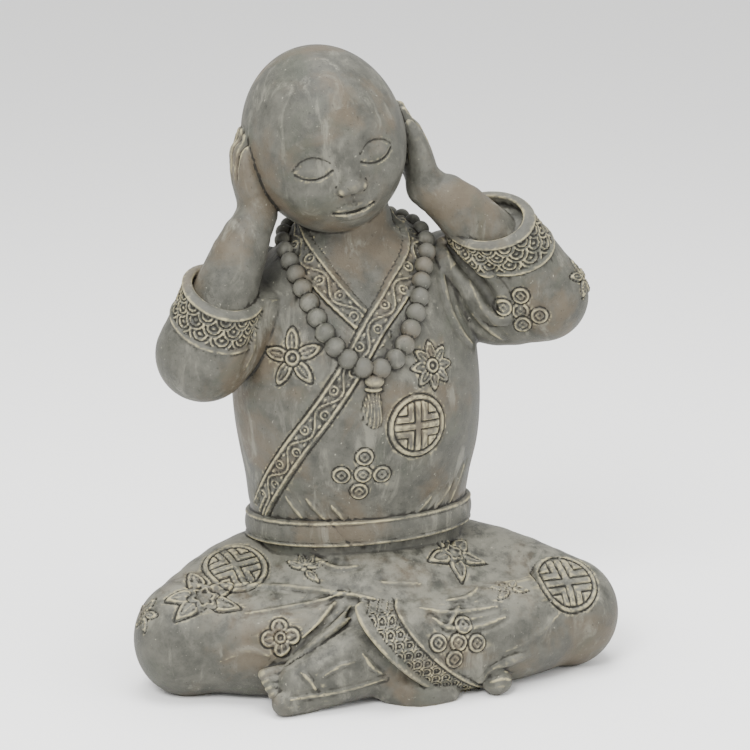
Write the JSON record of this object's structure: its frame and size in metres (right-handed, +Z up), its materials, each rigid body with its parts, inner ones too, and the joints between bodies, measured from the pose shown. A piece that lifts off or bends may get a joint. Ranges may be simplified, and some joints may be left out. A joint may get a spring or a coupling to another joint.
{
  "type": "monk statue",
  "caption": "Seated young monk in a patterned tunic with a bead string, legs crossed and both hands over the ears, cast in one piece.",
  "frame": {"origin": "on the flat underside, straight below the middle of the waist", "axes": "+Z up; the figure faces -Y, and its own right arm is on the -X side"},
  "size_m": [0.4255, 0.2385, 0.5385],
  "materials": {
    "cast_stone": "weathered grey cast stone with pale dust in the carving and rubbed high points"
  },
  "bodies": {
    "root": {"monk_statue": "cast_stone"}
  },
  "joints": []
}
